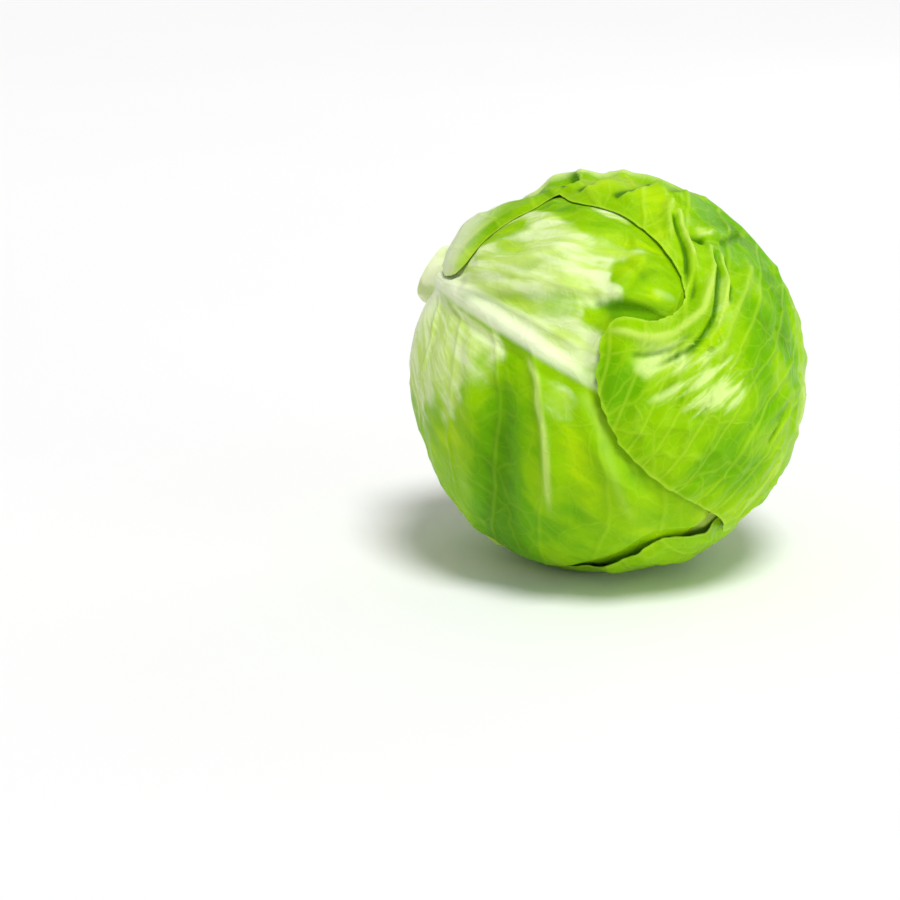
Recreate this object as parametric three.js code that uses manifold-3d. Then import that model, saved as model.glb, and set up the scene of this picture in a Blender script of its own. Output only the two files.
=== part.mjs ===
// A whole green cabbage lying on its side, in millimetres, with +Z up.
// The origin is on the surface that the head rests on, under the middle of the head.
// Seen from the front, along +Y, the cut stem points to the upper left and away.
// Broad wrapper leaves grow from the stem and overlap round a dense heart. Each leaf is laid out flat,
// with its midrib along y, and then wrapped on the head, so a point of a leaf is a direction from the
// head's centre and a depth in the stack of leaves.
import * as THREE from 'three';
import { mergeVertices } from 'three/addons/utils/BufferGeometryUtils.js';
import Module from 'manifold-3d';

// The head
const headRadius = 82;
const restHeight = 79.6;
const restFlattening = 0.3;
const restRelief = [1, 12];
const headCentre = new THREE.Vector3(2.68, 2.28, restHeight);
const stemDirection = new THREE.Vector3(-0.823, 0.421, 0.381).normalize();
const neckRise = 0.04;
const neckAngle = 22;
const bulges = [
  { toward: [1, -0.05, 0.12], rise: -0.05, angle: 60 },
  { toward: [-0.56, -0.228, -0.796], rise: 0.03, angle: 30 },
  { toward: [-0.669, 0.205, 0.714], rise: 0.05, angle: 10 },
  { toward: [0.3, 0.95, 0], rise: -0.04, angle: 45 },
];

// The stem, a cone that points at the head's centre
const stemAngle = 8.5;
const stemCutDistance = 89;
const stemCutRound = 3;
const stemCoreDistance = 34;
const stemSides = 36;
const pocketGap = 0.4;

// The heart
const heartDetail = 8;
const heartStepCount = 6;
const heartStepHeight = 0.9;
const heartStepSlope = [-2, 3];
const heartStepWidth = 78;
const heartStepWidthLoss = 6;

// The leaves
const bladeThickness = 1;
const bladeGap = 1.05;
const baseAngle = 10.4;
const baseSpread = 52;
const coverMargin = 8;
const coverFade = 26;
const ribHeight = 3.4;
const ribReach = 18;
const ribWidth = 6;
const ribFade = [0.15, 0.95];
const veinRelief = 1.5;
const veinStart = [0, 0.1];
const veinEnd = [0.8, 1];
const waveHeight = 4;
const waveCount = 8;
const waveStart = 0.62;
const waveFromStem = [0.1, 0.3];
const waveTurn = 40;
const foldFade = 0.25;
const outwardSpread = 1.15;
const tipHalfWidth = 22;
const tipRounding = 3;
const outlineSteps = 90;

// Leaf outlines as laid out flat, from the stem end to the tip. Each point is [x, y, rib]: x is across the
// leaf, y along it, and rib is where on the midrib the row of the blade that ends at this point begins.
// A fold is a ridge along a line on the flat leaf, with a width on the left and one on the right of it.
const outerLeaves = [
  {
    name: 'outer_leaf_top', azimuth: 76, wrapAngle: 115, rows: 40, columns: 9, colour: 0x86c010, tip: 127,
    left: [[-66, -124, -139], [-70, -110, -128], [-57, -105, -116], [-43, -97, -102], [-34, -88, -92],
      [-20, -84, -84], [-28, -72, -70], [-29, -50, -50], [-34, -24, -14], [-41, -4, 22], [-50, 1, 58],
      [-61, -1, 90], [-72, -12, 103], [-83, -9, 105], [-95, 9, 108], [-98, 34, 111], [-88, 60, 114],
      [-71, 82, 117], [-40, 108, 122]],
    right: [[52, -126, -141], [58, -96, -126], [66, -64, -106], [84, -32, -80], [98, 2, -48],
      [101, 38, -10], [90, 74, 36], [62, 104, 84]],
    folds: [
      { height: 2.6, left: 8, right: 4, line: [[-18, -83], [-3, -83], [15, -78]] },
      { height: 3, left: 9, right: 4, line: [[-17, -74], [-2, -70], [11, -66]] },
      { height: 3.2, left: 9, right: 4, line: [[-20, -54], [-7, -52], [8, -49]] },
      { height: 2.6, left: 5, right: 5, line: [[14, -33], [-6, -34], [-27, -18], [-34, -9]] },
      { height: 2.2, left: 8, right: 4, line: [[-16, -18], [0, -16], [11, -4], [17, 11]] },
      { height: 2.6, left: 6, right: 5, line: [[-75, -10], [-55, 12], [-43, 11], [-23, -10]] },
    ],
  },
  {
    name: 'outer_leaf_back', azimuth: -146, wrapAngle: 100, rows: 28, columns: 9, colour: 0x8cc41c, tip: 107,
    left: [[-44, -114, -121], [-64, -88, -113], [-84, -58, -98], [-100, -20, -74], [-104, 18, -40],
      [-95, 54, 6], [-72, 84, 58]],
    right: [[42, -114, -121], [58, -88, -113], [76, -58, -98], [91, -20, -74], [97, 18, -40],
      [98, 56, 6], [84, 94, 62]],
    folds: [],
  },
  {
    name: 'outer_leaf_front', azimuth: 6, wrapAngle: 85, rows: 28, columns: 9, colour: 0xc9e58c, tip: 108,
    left: [[-34, -96, -100], [-56, -80, -94], [-80, -56, -83], [-100, -24, -64], [-109, 10, -34],
      [-108, 46, 4], [-94, 78, 50], [-62, 98, 80]],
    right: [[34, -96, -100], [56, -78, -94], [78, -52, -83], [97, -20, -64], [104, 15, -34],
      [100, 48, 4], [80, 78, 52]],
    folds: [
      { height: 2.6, left: 7, right: 7, line: [[12, -77], [23, -87], [34, -92], [44, -75], [51, -58]] },
      { height: 1.7, left: 4, right: 13, line: [[8, -46], [22, -13], [35, 10]] },
      { height: 2.3, left: 4, right: 8, line: [[33, 11], [39, 27], [40, 39]] },
      { height: 2.4, left: 9, right: 9, line: [[-3, -6], [-21, 14], [-40, 23], [-76, 32]] },
      { height: 2, left: 8, right: 8, line: [[-3, 19], [-18, 37], [-50, 60]] },
    ],
  },
];

const turnBetweenLeaves = 137.5;
const innerLeafCount = 5;
const innerLeafWrap = 92;
const innerHalfWidth = 96;
const innerHalfWidthLoss = 3;
const innerTip = 104;
const innerStops = 7;
const innerShoulder = 0.85;
const innerBluntness = 0.6;
const innerRowLag = 1.5;
const innerTurnBack = 15;

const degrees = THREE.MathUtils.degToRad;
const smoothstep = THREE.MathUtils.smoothstep;
const frontDirection = perpendicularTo(stemDirection, new THREE.Vector3(0, -1, 0));
const upperDirection = new THREE.Vector3().crossVectors(stemDirection, frontDirection);

function perpendicularTo(axis, vector) {
  return vector.clone().addScaledVector(axis, -vector.dot(axis)).normalize();
}

// A direction from the head's centre, by its angle from the stem and its turn about it
function directionAt(angleFromStem, azimuth) {
  const turn = degrees(azimuth);
  const side = frontDirection.clone().multiplyScalar(Math.cos(turn));
  side.addScaledVector(upperDirection, Math.sin(turn));
  const tilt = degrees(angleFromStem);
  return stemDirection.clone().multiplyScalar(Math.cos(tilt)).addScaledVector(side, Math.sin(tilt));
}

// Distance from the head's centre to its outside, cut flat where it rests
function outerRadius(direction) {
  const fromStem = THREE.MathUtils.radToDeg(direction.angleTo(stemDirection));
  let scale = 1 + neckRise * Math.exp(-((fromStem / neckAngle) ** 2));
  for (const bulge of bulges) {
    const away = THREE.MathUtils.radToDeg(direction.angleTo(new THREE.Vector3(...bulge.toward)));
    scale += bulge.rise * Math.exp(-((away / bulge.angle) ** 2));
  }
  const down = Math.max(-direction.z, 1e-6);
  return Math.min(headRadius * scale, (restHeight + restFlattening) / down);
}

// How freely a surface may rise: nothing stands up where the head rests
function restFade(direction) {
  const height = restHeight + direction.z * outerRadius(direction);
  return smoothstep(height, ...restRelief);
}

function innerOutline(halfWidth, baseY, side) {
  const points = [];
  for (let i = 1; i < innerStops; i += 1) {
    const part = i / innerStops;
    const across = halfWidth * Math.sin(Math.PI * part ** innerShoulder) ** innerBluntness;
    const y = THREE.MathUtils.lerp(baseY, innerTip, part);
    points.push([side * across, y, THREE.MathUtils.lerp(baseY, innerTip, part ** innerRowLag)]);
  }
  return points;
}

// Adds to a leaf its place on the head, its two margins and its whole outline
function layOut(leaf) {
  const centre = directionAt(leaf.wrapAngle, leaf.azimuth);
  const along = directionAt(leaf.wrapAngle + 90, leaf.azimuth);
  const across = new THREE.Vector3().crossVectors(centre, along);
  const laid = { ...leaf, centre, along, across, margins: {} };
  laid.baseY = flatten(laid, directionAt(baseAngle, leaf.azimuth)).y;
  for (const [side, points] of [[-1, leaf.left], [1, leaf.right]]) {
    const corner = flatten(laid, directionAt(baseAngle, leaf.azimuth + side * baseSpread));
    const start = [corner.x, corner.y, laid.baseY];
    const end = [side * tipHalfWidth, leaf.tip - tipRounding, leaf.tip];
    const stops = [start, ...points, end].map(([x, y, rib]) => new THREE.Vector3(x, y, rib));
    const curve = new THREE.CatmullRomCurve3(stops);
    laid.margins[side] = curve.getSpacedPoints(outlineSteps);
  }
  laid.outline = [...laid.margins[1], ...laid.margins[-1].slice().reverse()];
  return laid;
}

// Flat place on a leaf of a direction from the head's centre
function flatten(leaf, direction) {
  const distance = headRadius * direction.angleTo(leaf.centre);
  const turn = Math.atan2(direction.dot(leaf.across), direction.dot(leaf.along));
  return new THREE.Vector2(distance * Math.sin(turn), distance * Math.cos(turn));
}

// Direction from the head's centre of a flat place on a leaf
function wrap(leaf, place) {
  const angle = Math.hypot(place.x, place.y) / headRadius;
  const turn = Math.atan2(place.x, place.y);
  const direction = leaf.centre.clone().multiplyScalar(Math.cos(angle));
  direction.addScaledVector(leaf.across, Math.sin(angle) * Math.sin(turn));
  return direction.addScaledVector(leaf.along, Math.sin(angle) * Math.cos(turn)).normalize();
}

// Distance from a flat place to the leaf's outline, above 0 inside
function insetDistance(leaf, place) {
  let nearest = Infinity;
  let inside = false;
  const corners = leaf.outline;
  for (let i = 0, j = corners.length - 1; i < corners.length; j = i, i += 1) {
    const a = corners[j];
    const b = corners[i];
    const edgeX = b.x - a.x;
    const edgeY = b.y - a.y;
    const lengthSquared = edgeX * edgeX + edgeY * edgeY;
    const along = ((place.x - a.x) * edgeX + (place.y - a.y) * edgeY) / Math.max(lengthSquared, 1e-9);
    const part = THREE.MathUtils.clamp(along, 0, 1);
    nearest = Math.min(nearest, Math.hypot(place.x - a.x - part * edgeX, place.y - a.y - part * edgeY));
    const crosses = a.y > place.y !== b.y > place.y;
    if (crosses && place.x < a.x + (edgeX * (place.y - a.y)) / edgeY) inside = !inside;
  }
  return inside ? nearest : -nearest;
}

function cover(leaf, direction) {
  const inset = insetDistance(leaf, flatten(leaf, direction));
  return smoothstep(inset, -coverMargin - coverFade, -coverMargin);
}

// The midrib stands out of the leaf's outer face, most near the stem
function ribProfile(leaf, place, reach) {
  const part = (place.y - leaf.baseY) / (leaf.tip - leaf.baseY);
  const height = ribHeight * (1 - smoothstep(part, ...ribFade));
  return height * Math.exp(-((place.x / reach) ** 2));
}

// Height that a leaf's folds add at a flat place
function foldLift(leaf, place) {
  let lift = 0;
  for (const { height, left, right, line } of leaf.folds) {
    let nearest = Infinity;
    let width = left;
    let travelled = 0;
    for (let i = 1; i < line.length; i += 1) {
      const start = new THREE.Vector2(...line[i - 1]);
      const edge = new THREE.Vector2(...line[i]).sub(start);
      const offset = place.clone().sub(start);
      const part = THREE.MathUtils.clamp(offset.dot(edge) / edge.lengthSq(), 0, 1);
      const distance = offset.distanceTo(edge.clone().multiplyScalar(part));
      if (distance < nearest) {
        nearest = distance;
        width = edge.cross(offset) > 0 ? left : right;
        travelled = (i - 1 + part) / (line.length - 1);
      }
    }
    const ends = smoothstep(travelled, 0, foldFade) * (1 - smoothstep(travelled, 1 - foldFade, 1));
    lift += height * ends * Math.exp(-((nearest / width) ** 2));
  }
  return lift;
}

// Room that a leaf takes up in the stack of leaves
function stackDepth(leaf, direction) {
  const place = flatten(leaf, direction);
  const covered = cover(leaf, direction);
  return covered * (bladeThickness + bladeGap + ribProfile(leaf, place, ribReach));
}

function innerFaceRadius(order, direction) {
  let radius = outerRadius(direction) + bladeGap;
  for (let i = 0; i <= order; i += 1) radius -= stackDepth(leaves[i], direction);
  return radius;
}

// 1 where no other leaf lies over this one
function freedom(order, direction) {
  let free = restFade(direction);
  for (let i = 0; i < order; i += 1) free *= 1 - cover(leaves[i], direction);
  return free;
}

// Point of a margin that the row beginning at this place on the midrib ends at
function marginAt(leaf, side, rib) {
  const points = leaf.margins[side];
  let next = 1;
  while (next < points.length - 1 && points[next].z < rib) next += 1;
  const before = points[next - 1];
  const after = points[next];
  const part = THREE.MathUtils.clamp((rib - before.z) / (after.z - before.z), 0, 1);
  return new THREE.Vector2(before.x, before.y).lerp(after, part);
}

// Where rows begin on the midrib, so that they end evenly spaced along the longer stretch of margin
function rowStarts(leaf) {
  const steps = 400;
  const travelled = [0];
  const ribAt = (i) => THREE.MathUtils.lerp(leaf.baseY, leaf.tip, i / steps);
  for (let i = 1; i <= steps; i += 1) {
    const moves = [-1, 1].map((side) => (
      marginAt(leaf, side, ribAt(i)).distanceTo(marginAt(leaf, side, ribAt(i - 1)))
    ));
    travelled.push(travelled[i - 1] + Math.max(...moves));
  }
  const starts = [];
  let at = 0;
  for (let row = 0; row <= leaf.rows; row += 1) {
    const goal = (travelled[steps] * row) / leaf.rows;
    while (at < steps && travelled[at] < goal) at += 1;
    starts.push(ribAt(at));
  }
  return starts;
}

// A blade is one sheet of quads for each face, split alike, joined by a rim
function makeBlade(leaf, order) {
  const wide = 2 * leaf.columns;
  const sheet = new THREE.PlaneGeometry(2, 1, wide, leaf.rows);
  const flat = sheet.attributes.position;
  const starts = rowStarts(leaf);
  const positions = [];
  const innerPositions = [];
  for (let i = 0; i < flat.count; i += 1) {
    const out = flat.getX(i);
    const side = out < 0 ? -1 : 1;
    const alongPart = 0.5 - flat.getY(i);
    const outPart = Math.abs(out) ** outwardSpread;
    const row = Math.round(alongPart * leaf.rows);
    const place = new THREE.Vector2(0, starts[row]).lerp(marginAt(leaf, side, starts[row]), outPart);
    const direction = wrap(leaf, place);
    const free = freedom(order, direction);
    const phase = leaf.azimuth + side * waveTurn;
    const wave = 0.5 - 0.5 * Math.cos(2 * Math.PI * waveCount * alongPart + phase);
    const loose = smoothstep(outPart, waveStart, 1) * smoothstep(alongPart, ...waveFromStem);
    const ruffle = waveHeight * wave * loose;
    const lift = free * (ruffle + foldLift(leaf, place));
    const onVein = smoothstep(outPart, ...veinStart) * (1 - smoothstep(outPart, ...veinEnd));
    const vein = row % 2 === 0 ? free * veinRelief * onVein : 0;
    const radius = innerFaceRadius(order, direction) + lift;
    const thickness = bladeThickness + ribProfile(leaf, place, ribWidth) + vein;
    const inner = headCentre.clone().addScaledVector(direction, radius);
    const outer = headCentre.clone().addScaledVector(direction, radius + thickness);
    outer.z = Math.max(outer.z, 0);
    positions.push(outer.x, outer.y, outer.z);
    innerPositions.push(inner.x, inner.y, inner.z);
  }

  const faces = [];
  const outerIndex = Array.from(sheet.index.array);
  for (let i = 0; i < outerIndex.length; i += 3) {
    const [a, b, c] = outerIndex.slice(i, i + 3);
    faces.push(a, b, c);
    faces.push(a + flat.count, c + flat.count, b + flat.count);
  }
  const border = borderOf(wide, leaf.rows);
  border.forEach((from, i) => {
    const to = border[(i + 1) % border.length];
    faces.push(from, to, to + flat.count);
    faces.push(from, to + flat.count, from + flat.count);
  });
  const blade = new THREE.BufferGeometry();
  blade.setAttribute('position', new THREE.Float32BufferAttribute([...positions, ...innerPositions], 3));
  blade.setIndex(faces);
  blade.computeVertexNormals();
  return blade;
}

// Vertex numbers round the edge of a plane of quads
function borderOf(wide, high) {
  const border = [];
  for (let i = 0; i < wide; i += 1) border.push(i);
  for (let j = 0; j < high; j += 1) border.push(j * (wide + 1) + wide);
  for (let i = wide; i > 0; i -= 1) border.push(high * (wide + 1) + i);
  for (let j = high; j > 0; j -= 1) border.push(j * (wide + 1));
  return border;
}

// The stem is a stub outside the head and a tapered core inside it, here made thicker all round by extra
function makeStem(extra) {
  const slope = Math.tan(degrees(stemAngle));
  const bottom = stemCoreDistance - extra;
  const shoulder = stemCutDistance - stemCutRound + extra;
  const cut = stemCutDistance + extra;
  const radiusAt = (distance) => distance * slope + extra;
  const profile = [
    new THREE.Vector2(0, bottom),
    new THREE.Vector2(radiusAt(bottom) - stemCutRound, bottom),
    new THREE.Vector2(radiusAt(bottom), bottom + stemCutRound),
    new THREE.Vector2(radiusAt(headRadius), headRadius),
    new THREE.Vector2(radiusAt(shoulder), shoulder),
    new THREE.Vector2(radiusAt(shoulder) - stemCutRound / 2, cut),
    new THREE.Vector2(0, cut),
  ];
  const stem = new THREE.LatheGeometry(profile, stemSides);
  const upright = new THREE.Vector3(0, 1, 0);
  stem.applyQuaternion(new THREE.Quaternion().setFromUnitVectors(upright, stemDirection));
  return stem.translate(headCentre.x, headCentre.y, headCentre.z);
}

// The heart is the ball of small leaves, closed tight, whose edges show as low steps
function makeHeart(wasm) {
  const steps = [];
  for (let i = 1; i <= heartStepCount; i += 1) {
    const azimuth = leaves[leaves.length - 1].azimuth + turnBetweenLeaves * i;
    steps.push(innerLeaf(`step_${i}`, azimuth, heartStepWidth - heartStepWidthLoss * i));
  }
  const ball = new THREE.IcosahedronGeometry(1, heartDetail);
  const points = ball.attributes.position;
  for (let i = 0; i < points.count; i += 1) {
    const direction = new THREE.Vector3().fromBufferAttribute(points, i).normalize();
    let radius = innerFaceRadius(leaves.length - 1, direction) - bladeGap;
    for (const step of steps) {
      const inset = insetDistance(step, flatten(step, direction));
      radius -= heartStepHeight * (1 - smoothstep(inset, ...heartStepSlope));
    }
    const point = headCentre.clone().addScaledVector(direction, radius);
    points.setXYZ(i, point.x, point.y, point.z);
  }
  return fromSolid(toSolid(wasm, ball).subtract(toSolid(wasm, makeStem(pocketGap))));
}

function toSolid(wasm, geometry) {
  const bare = geometry.clone();
  bare.deleteAttribute('normal');
  bare.deleteAttribute('uv');
  const merged = mergeVertices(bare, 1e-4);
  return new wasm.Manifold(new wasm.Mesh({
    numProp: 3,
    vertProperties: new Float32Array(merged.attributes.position.array),
    triVerts: new Uint32Array(merged.index.array),
  }));
}

function fromSolid(solid) {
  const mesh = solid.getMesh();
  const geometry = new THREE.BufferGeometry();
  geometry.setAttribute('position', new THREE.Float32BufferAttribute(mesh.vertProperties, 3));
  geometry.setIndex(new THREE.Uint32BufferAttribute(mesh.triVerts, 1));
  geometry.computeVertexNormals();
  return geometry;
}

function innerLeaf(name, azimuth, halfWidth) {
  const baseY = headRadius * degrees(baseAngle - innerLeafWrap);
  return layOut({
    name,
    azimuth,
    wrapAngle: innerLeafWrap,
    rows: 20,
    columns: 7,
    colour: 0xd8ea9c,
    tip: innerTip,
    left: innerOutline(halfWidth, baseY, -1),
    right: innerOutline(halfWidth, baseY, 1),
    folds: [],
  });
}

// Leaves from the outermost inward, each one turned on from the one outside it
const leaves = outerLeaves.map(layOut);
const frontLeaf = leaves[leaves.length - 1];
for (let i = 0; i < innerLeafCount; i += 1) {
  const azimuth = frontLeaf.azimuth - innerTurnBack + turnBetweenLeaves * (i + 1);
  leaves.push(innerLeaf(`inner_leaf_${i + 1}`, azimuth, innerHalfWidth - innerHalfWidthLoss * i));
}

const wasm = await Module();
wasm.setup();

const cabbage = new THREE.Group();

function addPiece(name, geometry, colour, roughness) {
  const material = new THREE.MeshStandardMaterial({ color: colour, roughness, metalness: 0 });
  const mesh = new THREE.Mesh(geometry, material);
  mesh.name = name;
  cabbage.add(mesh);
}

addPiece('stem', makeStem(0), 0xe6edc4, 0.6);
addPiece('heart', makeHeart(wasm), 0xe2eeb4, 0.5);
leaves.forEach((leaf, order) => addPiece(leaf.name, makeBlade(leaf, order), leaf.colour, 0.38));

export default cabbage;
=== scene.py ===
import bpy
import math
import numpy as np
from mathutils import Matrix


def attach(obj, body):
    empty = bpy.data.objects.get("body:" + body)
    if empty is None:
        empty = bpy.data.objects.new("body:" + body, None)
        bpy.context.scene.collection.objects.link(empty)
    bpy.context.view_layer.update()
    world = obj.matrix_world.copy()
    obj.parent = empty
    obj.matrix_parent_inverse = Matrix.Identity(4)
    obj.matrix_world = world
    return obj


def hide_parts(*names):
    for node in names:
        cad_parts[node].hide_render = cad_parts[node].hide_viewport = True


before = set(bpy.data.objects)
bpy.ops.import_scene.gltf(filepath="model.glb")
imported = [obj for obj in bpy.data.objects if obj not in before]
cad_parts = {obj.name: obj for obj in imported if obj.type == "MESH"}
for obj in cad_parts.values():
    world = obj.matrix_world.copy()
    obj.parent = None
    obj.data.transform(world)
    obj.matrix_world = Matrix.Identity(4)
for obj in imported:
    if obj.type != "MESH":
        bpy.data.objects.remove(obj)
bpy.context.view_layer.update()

# A whole green cabbage on its side. Lengths are in millimetres until a mesh is filled.
# Each leaf is laid out flat, x across it and y along it, and wrapped on the head from its own middle.
mm = 0.001
uvSize = 100  # of a flat leaf for one unit of its UV map

head = {
    "centre": (2.68, 2.28, 79.6),
    "radius": 82.0,
    "restHeight": 79.6,
    "flattening": 0.3,
    "restFade": (1, 12),  # the heights between which relief sets in
    "stemDirection": (-0.823, 0.421, 0.381),
    "neckRise": 0.04,
    "neckAngle": 22.0,
    "bulges": [  # toward, rise, angle
        ((1, -0.05, 0.12), -0.05, 60.0),
        ((-0.56, -0.228, -0.796), 0.03, 30.0),
        ((-0.669, 0.205, 0.714), 0.05, 10.0),
        ((0.3, 0.95, 0), -0.04, 45.0),
    ],
}


# Camera, where the photograph was taken from

view = {
    "lens": 110.0,
    "sensor": 36.0,
    "elevation": 16.0,
    "imageSide": 900,
    "headPixel": (612, 372),
    "pixelSize": 0.412,  # mm on the head
}


def placeCamera():
    tilt = math.radians(view["elevation"])
    up = np.array((0, math.sin(tilt), math.cos(tilt)))
    away = np.array((0, math.cos(tilt), -math.sin(tilt)))
    middle = view["imageSide"] / 2
    across = (view["headPixel"][0] - middle) * view["pixelSize"]
    below = (middle - view["headPixel"][1]) * view["pixelSize"]
    distance = view["imageSide"] * view["pixelSize"] * view["lens"] / view["sensor"]
    aim = np.array(head["centre"]) - across * np.array((1, 0, 0)) - below * up
    place = (aim - away * distance) * mm
    turn = (math.radians(90 - view["elevation"]), 0, 0)
    bpy.ops.object.camera_add(location=place, rotation=turn)
    camera = bpy.context.object
    camera.name = "camera"
    camera.data.lens = view["lens"]
    camera.data.sensor_width = view["sensor"]
    bpy.context.scene.camera = camera


bpy.ops.object.select_all(action="DESELECT")
placeCamera()
print("camera placed")


# Directions from the head's centre

headCentre = np.array(head["centre"])


def unit(vector):
    vector = np.asarray(vector, dtype=float)
    return vector / np.linalg.norm(vector)


stemDirection = unit(head["stemDirection"])
frontDirection = unit(np.array((0, -1, 0)) + stemDirection[1] * stemDirection)
upperDirection = np.cross(stemDirection, frontDirection)


def directionAt(angleFromStem, azimuth):
    turn, tilt = math.radians(azimuth), math.radians(angleFromStem)
    side = math.cos(turn) * frontDirection + math.sin(turn) * upperDirection
    return math.cos(tilt) * stemDirection + math.sin(tilt) * side


def angleTo(directions, target):
    return np.degrees(np.arccos(np.clip(directions @ unit(target), -1, 1)))


def smooth(value, low, high):
    part = np.clip((np.asarray(value, dtype=float) - low) / (high - low), 0, 1)
    return part * part * (3 - 2 * part)


def outerRadius(directions):
    scale = 1 + head["neckRise"] * np.exp(-(angleTo(directions, stemDirection) / head["neckAngle"]) ** 2)
    for toward, rise, angle in head["bulges"]:
        scale = scale + rise * np.exp(-(angleTo(directions, toward) / angle) ** 2)
    down = np.maximum(-directions[:, 2], 1e-6)
    return np.minimum(head["radius"] * scale, (head["restHeight"] + head["flattening"]) / down)


def restFade(directions):  # nothing stands up where the head rests
    height = head["restHeight"] + directions[:, 2] * outerRadius(directions)
    return smooth(height, *head["restFade"])


def softNoise(x, y, size, seed):  # from -1 to 1, in soft spots of that size
    side = 64
    table = np.random.default_rng(seed).uniform(-1, 1, (side, side))
    u, v = x / size + side / 2, y / size + side / 2
    i, j = np.floor(u).astype(int), np.floor(v).astype(int)
    a, b = smooth(u - i, 0, 1), smooth(v - j, 0, 1)
    i, j, iNext, jNext = i % side, j % side, (i + 1) % side, (j + 1) % side
    low = table[i, j] * (1 - a) + table[iNext, j] * a
    high = table[i, jNext] * (1 - a) + table[iNext, jNext] * a
    return low * (1 - b) + high * b


def softLayers(x, y, seed, layers):  # soft spots over one another, each layer an amount and a size
    total = 0
    for i, (amount, size) in enumerate(layers):
        total = total + amount * softNoise(x, y, size, seed + i)
    return total


# Lines on a flat leaf

def curveThrough(points, count):  # a centripetal curve through the points, evenly spaced
    steps = 10
    stops = np.asarray(points, dtype=float)
    stops = np.vstack([2 * stops[0] - stops[1], stops, 2 * stops[-1] - stops[-2]])
    strides = np.sqrt(np.linalg.norm(np.diff(stops, axis=0), axis=1))
    knots = np.concatenate([[0], np.cumsum(strides)])
    fine = []
    for i in range(1, len(stops) - 2):
        k, p = knots[i - 1:i + 3], stops[i - 1:i + 3]
        t = np.linspace(k[1], k[2], steps, endpoint=False)[:, None]
        near = p[0] + (p[1] - p[0]) * (t - k[0]) / (k[1] - k[0])
        here = p[1] + (p[2] - p[1]) * (t - k[1]) / (k[2] - k[1])
        far = p[2] + (p[3] - p[2]) * (t - k[2]) / (k[3] - k[2])
        before = near + (here - near) * (t - k[0]) / (k[2] - k[0])
        after = here + (far - here) * (t - k[1]) / (k[3] - k[1])
        fine.append(before + (after - before) * (t - k[1]) / (k[2] - k[1]))
    fine = np.vstack([*fine, stops[-2]])
    travelled = np.concatenate([[0], np.cumsum(np.linalg.norm(np.diff(fine, axis=0), axis=1))])
    wanted = np.linspace(0, travelled[-1], count)
    return np.column_stack([np.interp(wanted, travelled, column) for column in fine.T])


def nearLine(places, line):  # distance, 1 on the left and -1 on the right, and the part travelled
    edge = np.diff(line, axis=0)
    lengths = np.hypot(edge[:, 0], edge[:, 1])
    dx = places[:, :1] - line[:-1, 0]
    dy = places[:, 1:] - line[:-1, 1]
    part = np.clip((dx * edge[:, 0] + dy * edge[:, 1]) / lengths ** 2, 0, 1)
    distance = np.hypot(dx - part * edge[:, 0], dy - part * edge[:, 1])
    nearest = distance.argmin(axis=1)
    rows = np.arange(len(places))
    turn = edge[nearest, 0] * dy[rows, nearest] - edge[nearest, 1] * dx[rows, nearest]
    travelled = (nearest + part[rows, nearest]) / len(edge)
    return distance[rows, nearest], np.sign(turn), travelled


# The leaves, from the outermost inward. A pair of values is for the left and the right side.
# grid: columns and rows. lean: where the midrib's column stands, from -1 to 1.
# fine: rows that begin between the first two values stand closer, by the third.
# left, right: the margin, each point x, y and where on the midrib its row begins.
# ribFade: the parts of the midrib between which its colour fades. ribSoft: how softly it ends at the side.
# ribEdge: place, width and strength of a green line beside the midrib.
# pale: where it starts, how far it reaches between the veins and along them, and where it softens.
# veins: on each side a row of curved ones, by where the first begins and their pitch, or a fan from a focus.
# puff, crumple: how far the leaf bulges between its veins, and how sharp its small ridges stand.
# flow: the point that the streaks fan out from, and the distance at which they are as wide as drawn.
# folds: height, width on the left and on the right of the line, painted shading (above 0 a painted shade at
# the foot of the steep side, below 0 a painted highlight on the crest), line.
# patches: x, y, half length, half width, turn, how much paler, how much deeper green. Both are partly the
# leaf's own tone and partly painted light: some paler patches are painted highlights, and some greener or
# deeper patches are painted shade.
# glossy, pressed: x, y, half length, half width, turn, strength. A glossy patch is smoother and also carries
# painted highlight streaks.

blade = {
    "thickness": 1.0,
    "gap": 1.05,
    "baseAngle": 10.4,
    "baseSpread": 52.0,
    "tipHalfWidth": 22.0,
    "tipRound": 3.0,
    "marginPoints": 91,
    "ribPoints": 60,
    "rowSamples": 600,
    "skirt": (1.0, 9.0),  # where a leaf below sinks under the margin of the leaf above
    "ribHeight": 3.4,
    "ribTaper": (0.15, 0.95),  # the parts of the midrib between which it sinks
    "ribReach": 18.0,
    "ribNarrowed": 0.9,  # the part of the midrib where it is narrowest
    "ribSteepness": 2.4,
    "looseness": 0.5,  # what a free leaf stands off the head
    "rimThickness": 0.5,
    "rimThinning": 0.6,  # where a leaf is pressed flat
    "press": 0.75,  # how far a margin is pressed down on the leaf below
    "pressReach": 7.0,
    "pressLeft": 0.05,  # the gap that stays where a leaf is pressed flat
    "wallPart": 0.9,  # how much of its room a leaf's wall fills
    "smoothAngle": 50.0,
}

surface = {  # a layer is an amount and the size of its soft spots
    "frill": [(0.010, 7), (0.006, 3)],  # parts of the width
    "frillLength": 300.0,
    "frillFrom": (0.8, 1),  # parts of the way from midrib to margin
    "crowding": 1.15,  # above 1, columns stand closer near the midrib
    "swell": [(0.8, 19), (0.35, 8)],
    "crumple": [(1, 15), (0.4, 6)],
    "crumpleSharpness": 3,
    "ruffleHeight": 0.7,
    "ruffleSize": 13.0,
    "ruffleReach": 12.0,
    "ruffleFrom": (0.3, 0.45),  # parts of the midrib, as in the next line
    "reliefFrom": (0.02, 0.14),
    "pressedFlat": 0.85,
    "panel": (0.3, 24),
    "rim": (0.2, 1.6),  # from the margin
    "base": (28, 43),  # degrees from the stem
}

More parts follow.
